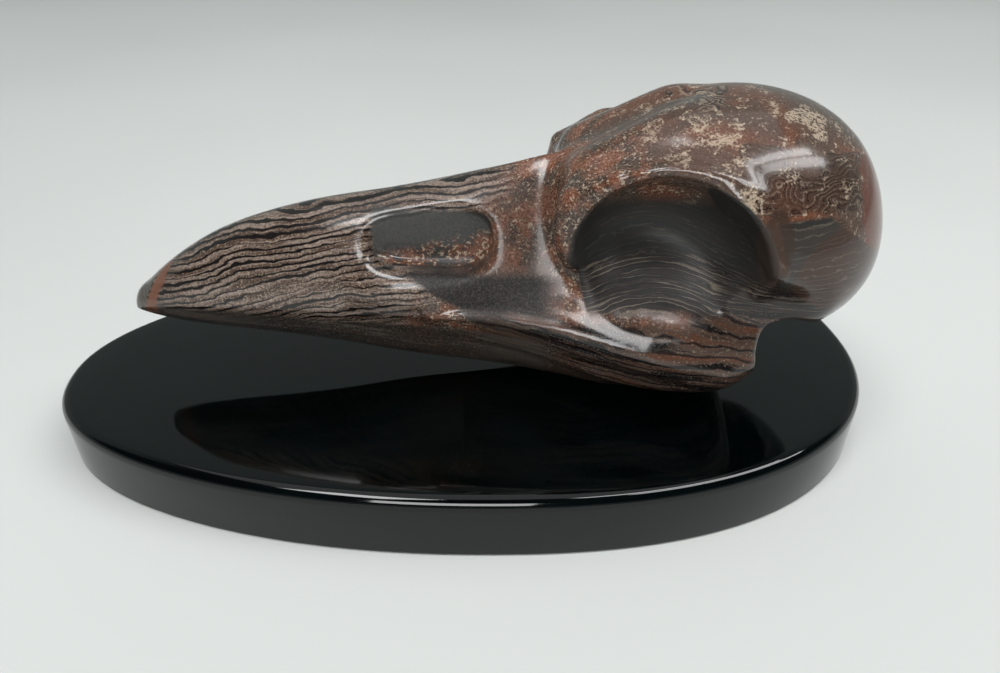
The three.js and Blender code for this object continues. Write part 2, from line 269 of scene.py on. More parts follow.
class SkullSettings(bpy.types.PropertyGroup):
    facet: bpy.props.FloatProperty(
        name="Facet", description="Size of the surface's facets", default=0.52 * MM, unit="LENGTH"
    )
    taupe: bpy.props.FloatVectorProperty(
        name="Taupe",
        description="Pale layers of the beak",
        default=(0.235, 0.18, 0.15),
        size=3,
        subtype="COLOR",
    )
    umber: bpy.props.FloatVectorProperty(
        name="Umber",
        description="Dark layers",
        default=(0.074, 0.046, 0.034),
        size=3,
        subtype="COLOR",
    )
    soot: bpy.props.FloatVectorProperty(
        name="Soot",
        description="Thin black lines",
        default=(0.006, 0.005, 0.005),
        size=3,
        subtype="COLOR",
    )
    russet: bpy.props.FloatVectorProperty(
        name="Russet",
        description="Red-brown of the brow and crown",
        default=(0.17, 0.066, 0.037),
        size=3,
        subtype="COLOR",
    )
    ember: bpy.props.FloatVectorProperty(
        name="Ember",
        description="Orange-red patches",
        default=(0.16, 0.045, 0.025),
        size=3,
        subtype="COLOR",
    )
    slate: bpy.props.FloatVectorProperty(
        name="Slate",
        description="Grey of the lower braincase",
        default=(0.05, 0.042, 0.036),
        size=3,
        subtype="COLOR",
    )
    moss: bpy.props.FloatVectorProperty(
        name="Moss",
        description="Green-grey of the hollows",
        default=(0.028, 0.031, 0.03),
        size=3,
        subtype="COLOR",
    )
    cream: bpy.props.FloatVectorProperty(
        name="Cream",
        description="Pale veins and flecks",
        default=(0.5, 0.4, 0.3),
        size=3,
        subtype="COLOR",
    )


class StageSettings(bpy.types.PropertyGroup):
    floor_colour: bpy.props.FloatVectorProperty(
        name="Floor",
        description="Pale floor",
        default=(0.67, 0.69, 0.675),
        size=3,
        subtype="COLOR",
    )
    lens: bpy.props.FloatProperty(name="Lens", description="Focal length of the camera in mm", default=26.49)
    azimuth: bpy.props.FloatProperty(
        name="Azimuth",
        description="How far the camera stands round from the front, less than 0 towards the beak",
        default=math.radians(-6.64),
        subtype="ANGLE",
    )
    elevation: bpy.props.FloatProperty(
        name="Elevation",
        description="How far the camera looks down",
        default=math.radians(33.73),
        subtype="ANGLE",
    )
    roll: bpy.props.FloatProperty(
        name="Roll",
        description="Turn of the camera round its view",
        default=math.radians(0.23),
        subtype="ANGLE",
    )
    distance: bpy.props.FloatProperty(
        name="Distance",
        description="How far back the camera stands from the base's middle",
        default=128.15 * MM,
        unit="LENGTH",
    )
    sideways: bpy.props.FloatProperty(
        name="Sideways", description="Shift of the camera to its right", default=5.02 * MM, unit="LENGTH"
    )
    upwards: bpy.props.FloatProperty(
        name="Upwards", description="Shift of the camera upwards", default=10.19 * MM, unit="LENGTH"
    )


# Geometry helpers.


def station_curve(stations, values, at):
    """A cubic between each pair of stations; its slopes are weighted means of the neighbouring slopes."""
    xs = np.asarray(stations, float)
    ys = np.asarray(values, float)
    span = np.diff(xs)
    slope = np.diff(ys) / span
    inner = (slope[:-1] * span[:-1] + slope[1:] * span[1:]) / (xs[2:] - xs[:-2])
    tangent = np.concatenate([slope[:1], inner, slope[-1:]])
    x = np.clip(at, xs[0], xs[-1])
    i = np.clip(np.searchsorted(xs, x) - 1, 0, len(xs) - 2)
    h = span[i]
    t = (x - xs[i]) / h
    rise = t * t * (3 - 2 * t)
    return (
        ys[i] * (1 - rise)
        + ys[i + 1] * rise
        + h * (t * (1 - t) ** 2 * tangent[i] - t * t * (1 - t) * tangent[i + 1])
    )


def join(a, b, k):
    """The smaller of two distances, rounded over about k."""
    h = np.clip(0.5 + 0.5 * (b - a) / k, 0, 1)
    return b * (1 - h) + a * h - k * h * (1 - h)


def keep(a, b, k):
    """The larger of two distances, rounded over about k."""
    return -join(-a, -b, k)


def cut(a, tool, k):
    """What is in a and not in the tool."""
    return keep(a, -tool, k)


def ellipsoid(p, centre, radii, turn=0.0, lean=0.0):
    """About n(n - 1)/m, where n is the length of the point over the radii and m over their squares."""
    x, y, z = (p[i] - centre[i] for i in range(3))
    a = math.radians(lean)
    y, z = y * math.cos(a) + z * math.sin(a), z * math.cos(a) - y * math.sin(a)
    a = math.radians(turn)
    x, z = x * math.cos(a) + z * math.sin(a), z * math.cos(a) - x * math.sin(a)
    near = np.sqrt((x / radii[0]) ** 2 + (y / radii[1]) ** 2 + (z / radii[2]) ** 2)
    slope = np.sqrt((x / radii[0] ** 2) ** 2 + (y / radii[1] ** 2) ** 2 + (z / radii[2] ** 2) ** 2)
    return near * (near - 1) / np.maximum(slope, 1e-9)


def rod(p, start, end):
    """Distance to a segment less a radius that runs evenly from one end's to the other's."""
    a = np.array(start, float)
    along = np.array(end, float)[:3] - a[:3]
    off = [p[i] - a[i] for i in range(3)]
    t = np.clip(sum(off[i] * along[i] for i in range(3)) / (along @ along), 0, 1)
    away = np.sqrt(sum((off[i] - t * along[i]) ** 2 for i in range(3)))
    return away - (a[3] + (end[3] - a[3]) * t)


def rod_chain(p, points):
    """The least distance to rods end to end."""
    return np.minimum.reduce([rod(p, start, end) for start, end in zip(points, points[1:])])


def rostrum(p):
    """
    A section |w/width|^q + |z/height|^q = 1 along s. Above the cutting edge it is round and turns into a
    tent under the eyes, and below it is a keel that grows flat to the rear.
    """
    s, w, z = p
    edge = station_curve(STATION_S, EDGE_Z, s)
    above = z > edge
    ridge = station_curve(STATION_S, RIDGE_Z, s)
    keel = station_curve(STATION_S, KEEL_Z, s)
    height = np.maximum(np.where(above, ridge - edge, edge - keel), LEAST_HALF)
    width = np.maximum(station_curve(STATION_S, HALF_WIDTH, s), LEAST_HALF)
    flatness = np.clip((s - FLAT_FROM) / (FLAT_TO - FLAT_FROM), 0, 1)
    tent = np.clip((s - TENT_FROM) / (TENT_TO - TENT_FROM), 0, 1)
    tent = tent * tent * (3 - 2 * tent)
    upper_power = ROUND_POWER + (TENT_POWER - ROUND_POWER) * tent
    lower_power = KEEL_POWER + (FLAT_POWER - KEEL_POWER) * flatness
    power = np.where(above, upper_power, lower_power)
    u = w / width + 1e-6
    v = np.abs(z - edge) / height + 1e-6
    g = (u**power + v**power) ** (1 / power)
    slope = np.hypot((u / g) ** (power - 1) / width, (v / g) ** (power - 1) / height)
    return np.maximum((g - 1) / slope, np.maximum(-s, s - STATION_S[-1]))


def skull(s, side, z):
    """The carved skull as a signed distance in mm, negative inside. Both sides are alike."""
    p = (s, np.abs(side), z)
    w = p[1]
    d = join(rostrum(p), rod_chain(p, JUGAL_CREST), 0.8)

    d = join(d, join(ellipsoid(p, *CROWN), ellipsoid(p, *NAPE), 6), 4)
    d = join(d, ellipsoid(p, *FOREHEAD), 2.5)

    eye = ellipsoid(p, EYE_CENTRE, EYE_RADII, lean=EYE_LEAN)
    inner_plane = BROW_W + (s - BROW_S) * BROW_SPREAD
    brow = keep(eye - BROW_OUT, w - inner_plane, 1.4)
    brow = keep(brow, BROW_LOWEST - z, 2.5)
    brow = keep(brow, BROW_FOREMOST - s, 0.8)
    d = join(d, brow, 2.6)
    d = join(d, rod_chain(p, BROW_FRONT), 3)
    d = join(d, rod(p, *CROWN_RIDGE), 3)
    d = cut(d, rod(p, *CROWN_VALLEY), 4)

    d = cut(d, ellipsoid(p, *TEMPLE_SLOPE), 3)
    d = cut(d, join(eye, ellipsoid(p, *TEMPLE), 5), 0.8)
    d = join(d, cut(rod(p, *TONGUE), eye, 0.8), 1.2)
    d = join(d, rod(p, *SOCKET_WALL), 3)

    flange = join(rod_chain(p, JUGAL_FLANGE), ellipsoid(p, *JUGAL_SHELF), 3)
    d = join(d, flange, 2.5)

    d = cut(d, keep(nostril_outline(s, z), NOSTRIL_FLOOR_W - w, 1.2), 0.9)
    d = cut(d, rod(p, *NOSTRIL_LEAD), 2)
    d = join(d, ellipsoid(p, *CHEEK), 3)

    d = cut(d, rod(p, *REAR_NOTCH), 1.2)
    d = cut(d, rod(p, *LOW_NOTCH), 1.2)
    d = cut(d, rod_chain(p, PALATE_GROOVE), 1.2)
    return np.maximum(d, -z)


def nostril_outline(s, z):
    """height * ((|along|^n + |up|^n)^(1/n) - 1), with along and up as shares of the half sizes."""
    along = np.abs(s - NOSTRIL_S) / NOSTRIL_HALF_LENGTH
    up = np.abs(z - NOSTRIL_Z - (s - NOSTRIL_S) * NOSTRIL_SLOPE) / NOSTRIL_HALF_HEIGHT
    outline = (along**NOSTRIL_POWER + up**NOSTRIL_POWER) ** (1 / NOSTRIL_POWER)
    return NOSTRIL_HALF_HEIGHT * (outline - 1)


def zero_surface(distance, low, high, cell, steps=4, probe=0.05, least_slope=0.2, leash=0.48):
    """
    The surface where a distance is zero, as points and quads. Each cell of a cubic grid that it crosses gets
    one point, the mean of the crossings on the cell's edges pulled onto the surface by steps of
    -distance * slope / |slope|^2, and each grid edge that it crosses joins the four cells around it.
    Probe and leash are shares of a cell: where the slope is taken, and how far a point may leave the middle.
    """
    axes = [np.arange(low[i], high[i] + cell, cell) for i in range(3)]
    values = distance(*np.meshgrid(*axes, indexing="ij"))
    fill_crossed_faces(values, cell)
    inside = values < 0
    shape = np.array(inside.shape) - 1
    total = np.zeros((*shape, 3))
    crossings = np.zeros(shape)
    for axis in range(3):
        for corner in range(4):
            start = [slice(0, n) for n in shape]
            offset = np.zeros(3)
            others = [n for n in range(3) if n != axis]
            for bit, other in enumerate(others):
                if corner >> bit & 1:
                    start[other] = slice(1, shape[other] + 1)
                    offset[other] = 1
            end = list(start)
            end[axis] = slice(1, shape[axis] + 1)
            a = values[tuple(start)]
            b = values[tuple(end)]
            crossed = (a < 0) != (b < 0)
            share = np.where(crossed, a / np.where(crossed, a - b, 1), 0)
            total += crossed[..., None] * offset
            total[..., axis] += share * crossed
            crossings += crossed
    cells = np.argwhere(crossings > 0)
    number = np.full(shape, -1)
    number[tuple(cells.T)] = np.arange(len(cells))
    mean = total[tuple(cells.T)] / crossings[tuple(cells.T)][:, None]
    corner = np.array([a[0] for a in axes])
    points = (cells + mean) * cell + corner
    middle = (cells + 0.5) * cell + corner
    for _ in range(steps):
        slope = gradient(distance, points, probe * cell)
        step = distance(*points.T) / np.maximum((slope**2).sum(1), least_slope)
        points = points - slope * step[:, None]
        points = middle + np.clip(points - middle, -leash * cell, leash * cell)
    return points, edge_quads(inside, number)


def gradient(distance, points, h):
    """Central differences along each axis."""
    steps = np.eye(3) * h
    return np.stack([distance(*(points + e).T) - distance(*(points - e).T) for e in steps], 1) / (2 * h)


def fill_crossed_faces(values, cell, depth=0.02):
    """Where inside and outside alternate round a grid face, all corners go inside, by a share of a cell."""
    changed = True
    while changed:
        changed = False
        for axis in range(3):
            views = []
            for first, second in ((0, 0), (0, 1), (1, 1), (1, 0)):
                part = [slice(None)] * 3
                for other, shift in zip([n for n in range(3) if n != axis], (first, second)):
                    part[other] = slice(1, None) if shift else slice(None, -1)
                views.append(values[tuple(part)])
            inside = [v < 0 for v in views]
            mixed = (inside[0] == inside[2]) & (inside[1] == inside[3]) & (inside[0] != inside[1])
            if mixed.any():
                changed = True
                for v in views:
                    v[mixed & (v >= 0)] = -depth * cell


def edge_quads(inside, number):
    """Four cells around each crossed grid edge, in the order that faces outwards."""
    quads = []
    for axis in range(3):
        second, third = [n for n in range(3) if n != axis]
        start = [slice(1, -1)] * 3
        end = list(start)
        end[axis] = slice(2, None)
        a = inside[tuple(start)]
        b = inside[tuple(end)]
        for turn, crossed in ((0, a & ~b), (1, ~a & b)):
            at = np.argwhere(crossed) + 1
            ring = []
            for back_second, back_third in ((1, 1), (0, 1), (0, 0), (1, 0)):
                cell = at.copy()
                cell[:, second] -= back_second
                cell[:, third] -= back_third
                ring.append(number[tuple(cell.T)])
            quad = np.stack(ring, 1)
            flip = turn ^ (axis == 1)
            quads.append(quad[:, ::-1] if flip else quad)
    return np.concatenate(quads)


def superellipse_ring(settings, count):
    """
    The base's outline at unit size: along = cos^(2/n), across = sin^(2/n) * (1 + egg * along), each with its
    own sign, for even angles, and across divided by its greatest value.
    """
    angle = np.linspace(0, 2 * np.pi, count, endpoint=False)
    power = 2 / settings.squareness
    along = np.sign(np.cos(angle)) * np.abs(np.cos(angle)) ** power
    across = np.sign(np.sin(angle)) * np.abs(np.sin(angle)) ** power * (1 + settings.egg_share * along)
    return along, across / across.max()


def mesh_object(name, points, faces, smooth=True):
    """A closed mesh from whole arrays."""
    mesh = bpy.data.meshes.new(name)
    mesh.from_pydata(points.tolist(), [], faces)
    mesh.validate()
    mesh.update()
    if smooth:
        mesh.shade_smooth()
    obj = bpy.data.objects.new(name, mesh)
    bpy.context.collection.objects.link(obj)
    return obj


# Shader helpers.

# Outputs of the texture coordinate node.
GENERATED_OUTPUT, OBJECT_OUTPUT = 0, 3


class Wire:
    """A node's output socket. Sums, products and powers with numbers or other wires add Math nodes."""

    def __init__(self, tree, socket):
        self.tree = tree
        self.socket = socket

    def maths(self, operation, *values):
        return self.tree.node("ShaderNodeMath", {"operation": operation}, dict(enumerate(values)))

    def __add__(self, other):
        return self.maths("ADD", self, other)

    __radd__ = __add__

    def __mul__(self, other):
        return self.maths("MULTIPLY", self, other)

    __rmul__ = __mul__

    def __sub__(self, other):
        return self.maths("SUBTRACT", self, other)

    def __rsub__(self, other):
        return self.maths("SUBTRACT", other, self)

    def __truediv__(self, other):
        return self.maths("DIVIDE", self, other)

    def __rtruediv__(self, other):
        return self.maths("DIVIDE", other, self)

    def __pow__(self, other):
        return self.maths("POWER", self, other)

    def __abs__(self):
        return self.maths("ABSOLUTE", self)

    def at_least(self, other):
        return self.maths("MAXIMUM", self, other)

    def at_most(self, other):
        return self.maths("MINIMUM", self, other)

    def fraction(self):
        return self.maths("FRACT", self)

    def rise(self, low, high):
        """0 below low, 1 above high, and a smooth step between. Falls where low is above high."""
        return self.tree.node(
            "ShaderNodeMapRange",
            {"interpolation_type": "SMOOTHSTEP"},
            {"Value": self, "From Min": low, "From Max": high},
        )

    def band(self, low, high, soft):
        """1 between low and high, fading out over soft."""
        return self.rise(low - soft, low + soft) * self.rise(high + soft, high - soft)

    def under(self, line, soft):
        """1 below a line and 0 above it, fading over soft to each side."""
        return (self - line).rise(soft, -soft)


class Tree:
    """A node tree with one method that adds any node."""

    def __init__(self, node_tree):
        self.nodes = node_tree.nodes
        self.links = node_tree.links
        self.nodes.clear()

    def node(self, kind, settings, inputs, output=0):
        made = self.nodes.new(kind)
        for name, value in settings.items():
            setattr(made, name, value)
        for name, value in inputs.items():
            if isinstance(value, Wire):
                self.links.new(value.socket, made.inputs[name])
            else:
                made.inputs[name].default_value = value
        return Wire(self, made.outputs[output])

    def object_place(self):
        """The point on the object's surface, in the object's own metres."""
        return self.node("ShaderNodeTexCoord", {}, {}, OBJECT_OUTPUT)

    def mix(self, factor, a, b):
        """Colours a and b, each a wire or an RGB value, mixed by a factor."""
        inputs = {0: factor, 6: as_colour(a), 7: as_colour(b)}
        return self.node("ShaderNodeMix", {"data_type": "RGBA"}, inputs, 2)

    def noise(self, vector, scale, detail=2.0, roughness=0.5, distortion=0.0):
        inputs = {"Vector": vector, "Scale": scale, "Detail": detail}
        inputs |= {"Roughness": roughness, "Distortion": distortion}
        return self.node("ShaderNodeTexNoise", {}, inputs)

    def vector(self, x, y, z):
        return self.node("ShaderNodeCombineXYZ", {}, {"X": x, "Y": y, "Z": z})

    def lines(self, level, pitch, thickness):
        """1 on evenly spaced lines of a level, each this share of the pitch thick."""
        phase = (level / pitch).fraction()
        return (abs(phase - 0.5) - thickness * 0.5).rise(0.06, -0.06)

    def spread(self, place, centre, radii, start=0.0):
        """The sum of (offset / radius)^2 from a centre, alike on both sides, added to a start."""
        x, y, z = self.parts(place)
        offsets = zip((x, abs(y), z), centre, radii)
        return sum((((v - c) / r) ** 2 for v, c, r in offsets), start)

    def near(self, place, centre, radii, jitter=0.0):
        """1 inside an ellipsoid round a centre, 0 outside it; jitter ruffles its edge."""
        return self.spread(place, centre, radii, jitter).rise(1.15, 0.75)

    def parts(self, vector):
        return [self.node("ShaderNodeSeparateXYZ", {}, {0: vector}, i) for i in range(3)]

    def finish(self, inputs):
        shader = self.node("ShaderNodeBsdfPrincipled", {}, inputs)
        out = self.nodes.new("ShaderNodeOutputMaterial")
        self.links.new(shader.socket, out.inputs["Surface"])


def as_colour(value):
    return value if isinstance(value, Wire) else (*value, 1.0)


def shade(colour, share):
    """A colour made lighter or darker."""
    return tuple(share * v for v in colour)


def new_material(name):
    material = bpy.data.materials.new(name)
    material.use_nodes = True
    return material, Tree(material.node_tree)


class Spot:
    """
    A point on the skull, with three warps that bend the layers there, from slow to quick, and three noises
    that mottle the stone, from coarse to fine.
    """

    def __init__(self, tree):
        self.tree = tree
        self.place = skull_coordinates(tree)
        self.s, self.y, self.z = tree.parts(self.place)
        self.w = abs(self.y)
        self.sway = self.streaks(self.z, (0.035, 0.05, 0.045), detail=1.0) - 0.5
        self.ripple = self.streaks(self.z, (0.15, 0.16, 0.22)) - 0.5
        self.tremor = self.streaks(self.z, (0.5, 0.5, 1.1)) - 0.5
        self.clots = tree.noise(self.place, 0.3, 3.0, 0.62)
        self.fleck = tree.noise(self.place, 1.7, 2.0, 0.6)
        self.grain = tree.noise(self.place, 3.4, 3.0, 0.7)
        self.jitter = self.bend(4, 9, 1.5)

    def bend(self, sway, ripple, tremor):
        """The warps added up, each with its reach in mm."""
        return self.sway * sway + self.ripple * ripple + self.tremor * tremor

    def streaks(self, level, pace, scale=1.0, detail=2.0, roughness=0.5):
        """Noise whose pace along s, across and over the level differs, so that it draws out into streaks."""
        stretched = self.tree.vector(self.s * pace[0], self.y * pace[1], level * pace[2])
        return self.tree.noise(stretched, scale, detail, roughness)


def skull_coordinates(tree):
    """The point in the skull's own frame, in mm: along the beak, across, and up from the seat."""
    place = Vector((TIP_X, TIP_Y, SEAT_Z))
    place.rotate(Matrix.Rotation(-SKULL_TURN, 3, "Z"))
    inputs = {
        "Vector": tree.object_place(),
        "Location": tuple(-v / MM for v in place),
        "Rotation": (0, 0, -SKULL_TURN),
        "Scale": (1 / MM, 1 / MM, 1 / MM),
    }
    return tree.node("ShaderNodeMapping", {"vector_type": "POINT"}, inputs)


def banded_stone(colours):
    """Brown stone in fine wavy layers, with a speckled russet brow, a veined crown, grey eye hollows darkened
    by painted shade, and dark slate below each eye that is partly painted shade.
    """
    material, tree = new_material("banded_stone")
    spot = Spot(tree)
    s, w, z = spot.s, spot.w, spot.z
    tremor = spot.tremor

    hinge = s.band(*HINGE_S_RANGE, 2.0) * z.rise(*HINGE_TOP_FADE)
    rim = [radius + EYE_RIM for radius in EYE_RADII]
    bowl = tree.spread(spot.place, EYE_CENTRE, rim)
    hollow = bowl.rise(*HOLLOW_RIM_FADE) * s.rise(*HOLLOW_FRONT_FADE) * (z + tremor).rise(*HOLLOW_FLOOR_FADE)
    cheek_line = CHEEK_Z - (s - 50) * 0.02 + spot.jitter * 0.2
    front_half = s.rise(*FRONT_HALF_FADE)
    below_eye = z.under(cheek_line, 0.8) * (s + (z - 18) * 1.5).rise(*CHEEK_FRONT_FADE) * front_half
    jugal_line = JUGAL_Z + spot.jitter * 0.25 + s.rise(*JUGAL_STEP_FADE) * 2.0
    jugal = z.under(jugal_line, 0.8) * (s + spot.jitter * 0.6).rise(*JUGAL_FRONT_FADE)
    jugal = jugal * s.rise(*JUGAL_REAR_FADE)
    keel_line = UNDERSIDE_Z - s * 0.02 + tremor * 0.8
    underside = z.under(keel_line, 0.6) * front_half
    nostril = s.band(*NOSTRIL_S_RANGE, 0.4) * z.band(*NOSTRIL_Z_RANGE, 0.4) * w.rise(*NOSTRIL_DEPTH_FADE)

    grey = grey_stone(tree, colours, spot)
    colour = upper_stone(tree, colours, spot, hinge, grey)
    # Painted shade: inside each eye hollow the grey stone is mixed almost half with near-black moss, to
    # darken the recess.
    colour = tree.mix(hollow, colour, tree.mix(0.45, grey, shade(colours.moss, 0.12)))
    # Below each eye, in front of the jugal, near-black and slate: partly the stone's dark colour, partly
    # painted shade of a hollow that the carving lacks.
    cheek_stone_and_shade = tree.mix(spot.grain.rise(0.4, 0.7), colours.soot, colours.slate)
    colour = tree.mix(below_eye, colour, cheek_stone_and_shade)
    tongue = tree.near(spot.place, *TONGUE_SHADE, spot.ripple)
    colour = tree.mix(tongue * 0.8, colour, shade(colours.umber, 0.5))
    colour = tree.mix(jugal, colour, shelf_stone(tree, colours, spot))
    colour = tree.mix(nostril, colour, nostril_stone(tree, colours, spot))
    colour = tree.mix(underside * 0.85, colour, palate_stone(tree, colours, spot))
    colour = tip_stone(tree, colours, spot, colour)

    dull = hollow + below_eye * (1 - hollow) * (1 - jugal)
    roughness = spot.grain.rise(0.3, 0.75) * GRAIN_ROUGHNESS + dull * DULL_ROUGHNESS
    bump = tree.node("ShaderNodeBump", {}, {"Strength": 0.05, "Distance": 0.2 * MM, "Height": spot.grain})
    tree.finish(
        {
            "Base Color": colour,
            "Roughness": roughness + hinge * HINGE_ROUGHNESS + STONE_ROUGHNESS,
            "Normal": bump,
            "IOR": STONE_IOR,
            "Coat Weight": (1 - dull) * (1 - hinge * HINGE_COAT_LOSS) * STONE_COAT,
            "Coat Roughness": COAT_ROUGHNESS,
        }
    )
    return material


def upper_stone(tree, colours, spot, hinge, grey):
    """Layers on the beak, speckles on the brow, veins on the crown, and grey on the lower braincase."""
    s, w, z, jitter = spot.s, spot.w, spot.z, spot.jitter
    speckled = tree.mix(hinge * 0.45, speckled_stone(tree, colours, spot), shade(colours.umber, 0.5))
    brow_start = (s + jitter - (z - 20) * 0.7).rise(*SPECKLES_FADE)
    colour = tree.mix(brow_start, beak_layers(tree, colours, spot), speckled)
    crown_start = (s + jitter - (w - 10) * 0.6).rise(*VEINS_FADE)
    colour = tree.mix(crown_start, colour, veined_stone(tree, colours, spot))
    low_line = CROWN_LOW_Z + jitter * 0.1 - (s - CROWN_LOW_FALL_S).at_least(0.0) * 0.7
    behind_eye = (s + (z - 30) * 0.35).rise(*BEHIND_EYE_FADE)
    colour = tree.mix(z.under(low_line, 0.3) * behind_eye, colour, grey)
    under_temple = (z + jitter * 0.12).rise(*TEMPLE_FADE_Z) * s.rise(*TEMPLE_FADE_S)
    return tree.mix(under_temple, colour, grey)


def beak_layers(tree, colours, spot):
    """Taupe layers about a millimetre thick between thin wavy black lines."""
    s, z, grain = spot.s, spot.z, spot.grain
    step_up = (s + z * 0.9).rise(*LAYER_STEP_FADE) * 3.0
    level = z - s * 0.13 - step_up - spot.w * 0.35 + spot.bend(5, 1.8, 0.5)
    thick = spot.streaks(level, (0.06, 0.08, 0.9))
    tone = spot.streaks(level, (0.05, 0.06, 0.75), scale=2.3)
    body = tree.mix(tone.rise(0.38, 0.62), colours.umber, colours.taupe)
    body = tree.mix(grain.rise(0.5, 0.68) * 0.6, body, shade(colours.cream, 0.85))
    body = tree.mix(grain.rise(0.5, 0.34) * 0.8, body, shade(colours.umber, 0.5))
    black = tree.lines(level + spot.tremor * 0.3, LAYER_PITCH, thick * 1.5 - 0.4 + s.rise(22, 4) * 0.16)
    fine = tree.lines(level + 0.3, FINE_LAYER_PITCH, thick * 0.8 - 0.3)
    body = tree.mix(fine * 0.6, body, shade(colours.umber, 0.4))
    body = tree.mix(s.rise(14, 3) * 0.5, body, shade(colours.umber, 0.6))
    return tree.mix(black * 0.97, body, colours.soot)


def speckled_stone(tree, colours, spot):
    """Russet stone sprinkled with pale and orange flecks and dark specks."""
    clots, fleck, grain = spot.clots, spot.fleck, spot.grain
    body = tree.mix(clots.rise(0.4, 0.6), shade(colours.umber, 0.8), colours.russet)
    body = tree.mix(grain.rise(0.5, 0.3) * 0.8, body, colours.soot)
    body = tree.mix(grain.rise(0.52, 0.66) * 0.5, body, shade(colours.cream, 0.75))
    body = tree.mix(fleck.rise(0.58, 0.66) * grain.rise(0.35, 0.6) * 0.6, body, colours.cream)
    orange = clots.rise(0.56, 0.64) * fleck.rise(0.5, 0.6) * grain.rise(0.3, 0.5)
    return tree.mix(orange * 0.4, body, shade(colours.ember, 1.6))


def veined_stone(tree, colours, spot):
    """Brown stone with pale blotches, a cream hook, faint loops on top and folded pale layers at the back."""
    place, grain, fleck = spot.place, spot.grain, spot.fleck
    swirl = crown_swirl(tree, spot)
    body = tree.mix(swirl.rise(0.42, 0.6), shade(colours.russet, 0.85), shade(colours.umber, 1.1))
    body = tree.mix(grain.rise(0.5, 0.32) * 0.7, body, shade(colours.umber, 0.4))
    body = tree.mix(grain.rise(0.56, 0.72) * 0.3, body, shade(colours.cream, 0.6))
    body = tree.mix(fleck.rise(0.61, 0.7) * 0.35, body, colours.cream)
    body = fold_marks(tree, colours, spot, body)
    body = loop_marks(tree, colours, spot, swirl, body)

    streak = tree.near(place, *PALE_STREAK, spot.ripple * 4)
    blotch = (spot.clots + fleck * 0.45 + grain * 0.25 + streak * 0.13).rise(0.9, 1.1)
    body = tree.mix(blotch * grain.rise(0.25, 0.6) * 0.75, body, colours.cream)
    hook = tree.near(place, *CREAM_HOOK, spot.ripple * 6) * (1 - tree.near(place, *HOOK_INSIDE))
    body = tree.mix(hook * (fleck + grain).rise(0.85, 1.05) * 0.8, body, shade(colours.cream, 0.9))
    patch = tree.near(place, *RED_PATCH, spot.ripple * 5)
    return tree.mix(patch * 0.85, body, tree.mix(grain, shade(colours.ember, 0.35), colours.ember))


def crown_swirl(tree, spot):
    """Slow noise on bent coordinates, which the crown's colour and its loops follow."""
    swirled = tree.vector(
        spot.s + spot.sway * 14,
        spot.y + spot.ripple * 10,
        spot.z * 1.3 - spot.sway * 12,
    )
    return tree.noise(swirled, 0.07, 2.0, 0.5, 0.5)


def fold_marks(tree, colours, spot, body):
    """Pale and black layers, folded together, behind the eye."""
    back = tree.near(spot.place, *BACK_FOLDS, spot.ripple * 7)
    folds = spot.z - spot.s * 0.3 + spot.sway * 30 + spot.ripple * 16 + (spot.fleck - 0.5) * 0.8
    thick = spot.clots * 0.9 - 0.3
    body = tree.mix(back * 0.7, body, shade(colours.umber, 0.55))
    pale = tree.lines(folds, FOLD_PITCH, thick) * back * spot.grain.rise(0.3, 0.6)
    body = tree.mix(pale * 0.7, body, shade(colours.cream, 0.42))
    black = tree.lines(folds + 0.45, FOLD_PITCH, thick) * back
    return tree.mix(black * 0.7, body, colours.soot)


def loop_marks(tree, colours, spot, swirl, body):
    """Faint closed lines on top of the crown."""
    top = tree.near(spot.place, *CROWN_LOOPS, spot.ripple * 2)
    loops = swirl * 24 + (spot.fleck - 0.5) * 0.6
    body = tree.mix(tree.lines(loops, LOOP_PITCH, 0.2) * top * 0.6, body, shade(colours.cream, 0.6))
    return tree.mix(tree.lines(loops + 0.35, LOOP_PITCH, 0.25) * top * 0.8, body, colours.soot)


def grey_stone(tree, colours, spot):
    """Smooth grey stone whose hair-thin pale lines arch over the wall of each eye hollow."""
    s, z, grain = spot.s, spot.z, spot.grain
    reach = ((s - 75.5) ** 2).at_most(72.0)
    arch = z + reach * 0.016 + spot.sway * 4 + spot.tremor * 0.35
    tone = spot.streaks(arch, (0.03, 0.04, 0.5), detail=3.0, roughness=0.6)
    body = tree.mix(tone.rise(0.3, 0.6), shade(colours.moss, 0.7), shade(colours.slate, 0.7))
    body = tree.mix(grain.rise(0.55, 0.8) * 0.25, body, shade(colours.slate, 1.6))
    thick = spot.streaks(arch, (0.16, 0.16, 1.2), detail=3.0)
    arch = arch + tone * 3
    low = (z + spot.tremor * 2).rise(*LOW_ARCHES_FADE)
    body = tree.mix(low * 0.85, body, colours.soot)
    brown = tree.lines(arch, ARCH_PITCH, thick * 0.9 - 0.15) * low
    body = tree.mix(brown * 0.6, body, shade(colours.umber, 0.6))
    fading = s.rise(86, 83) + s.rise(112, 88) * 0.5
    pale = tree.lines(arch + 0.25, ARCH_PITCH, thick * 1.3 - 0.5) * low * fading
    body = tree.mix(pale * grain.rise(0.2, 0.55) * 0.85, body, shade(colours.cream, 0.42))
    warm = tree.near(spot.place, *WARM_PATCH, spot.sway * 8)
    body = tree.mix(warm * 0.5, body, shade(colours.russet, 0.35))
    faint = tree.lines(arch * 1.3 + spot.tremor, FAINT_PITCH, thick * 0.35 - 0.09)
    return tree.mix(faint * 0.35, body, shade(colours.cream, 0.4))


